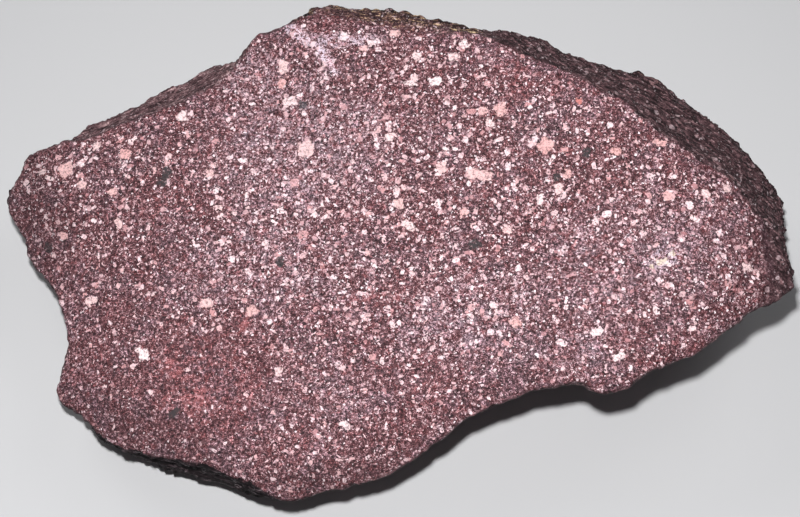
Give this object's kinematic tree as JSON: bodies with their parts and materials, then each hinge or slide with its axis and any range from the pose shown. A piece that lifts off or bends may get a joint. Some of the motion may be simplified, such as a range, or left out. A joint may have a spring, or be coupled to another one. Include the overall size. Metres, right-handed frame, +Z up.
{
  "type": "porphyry specimen",
  "caption": "Natural lump of purple-red porphyry with a broad fresh broken face full of small pale feldspar crystals, weathered flanks and a small flat resting spot.",
  "frame": {"origin": "on the ground, under the middle of the stone's box", "axes": "+X along the stone's long side, towards its pointed thick end; +Y towards its weathered back flank; +Z up, with the broken face upwards"},
  "size_m": [0.1574, 0.102, 0.0372],
  "materials": {
    "stone": "rough broken porphyry, purple-red with small white to salmon crystals"
  },
  "bodies": {
    "root": {"stone": "stone"}
  },
  "joints": []
}
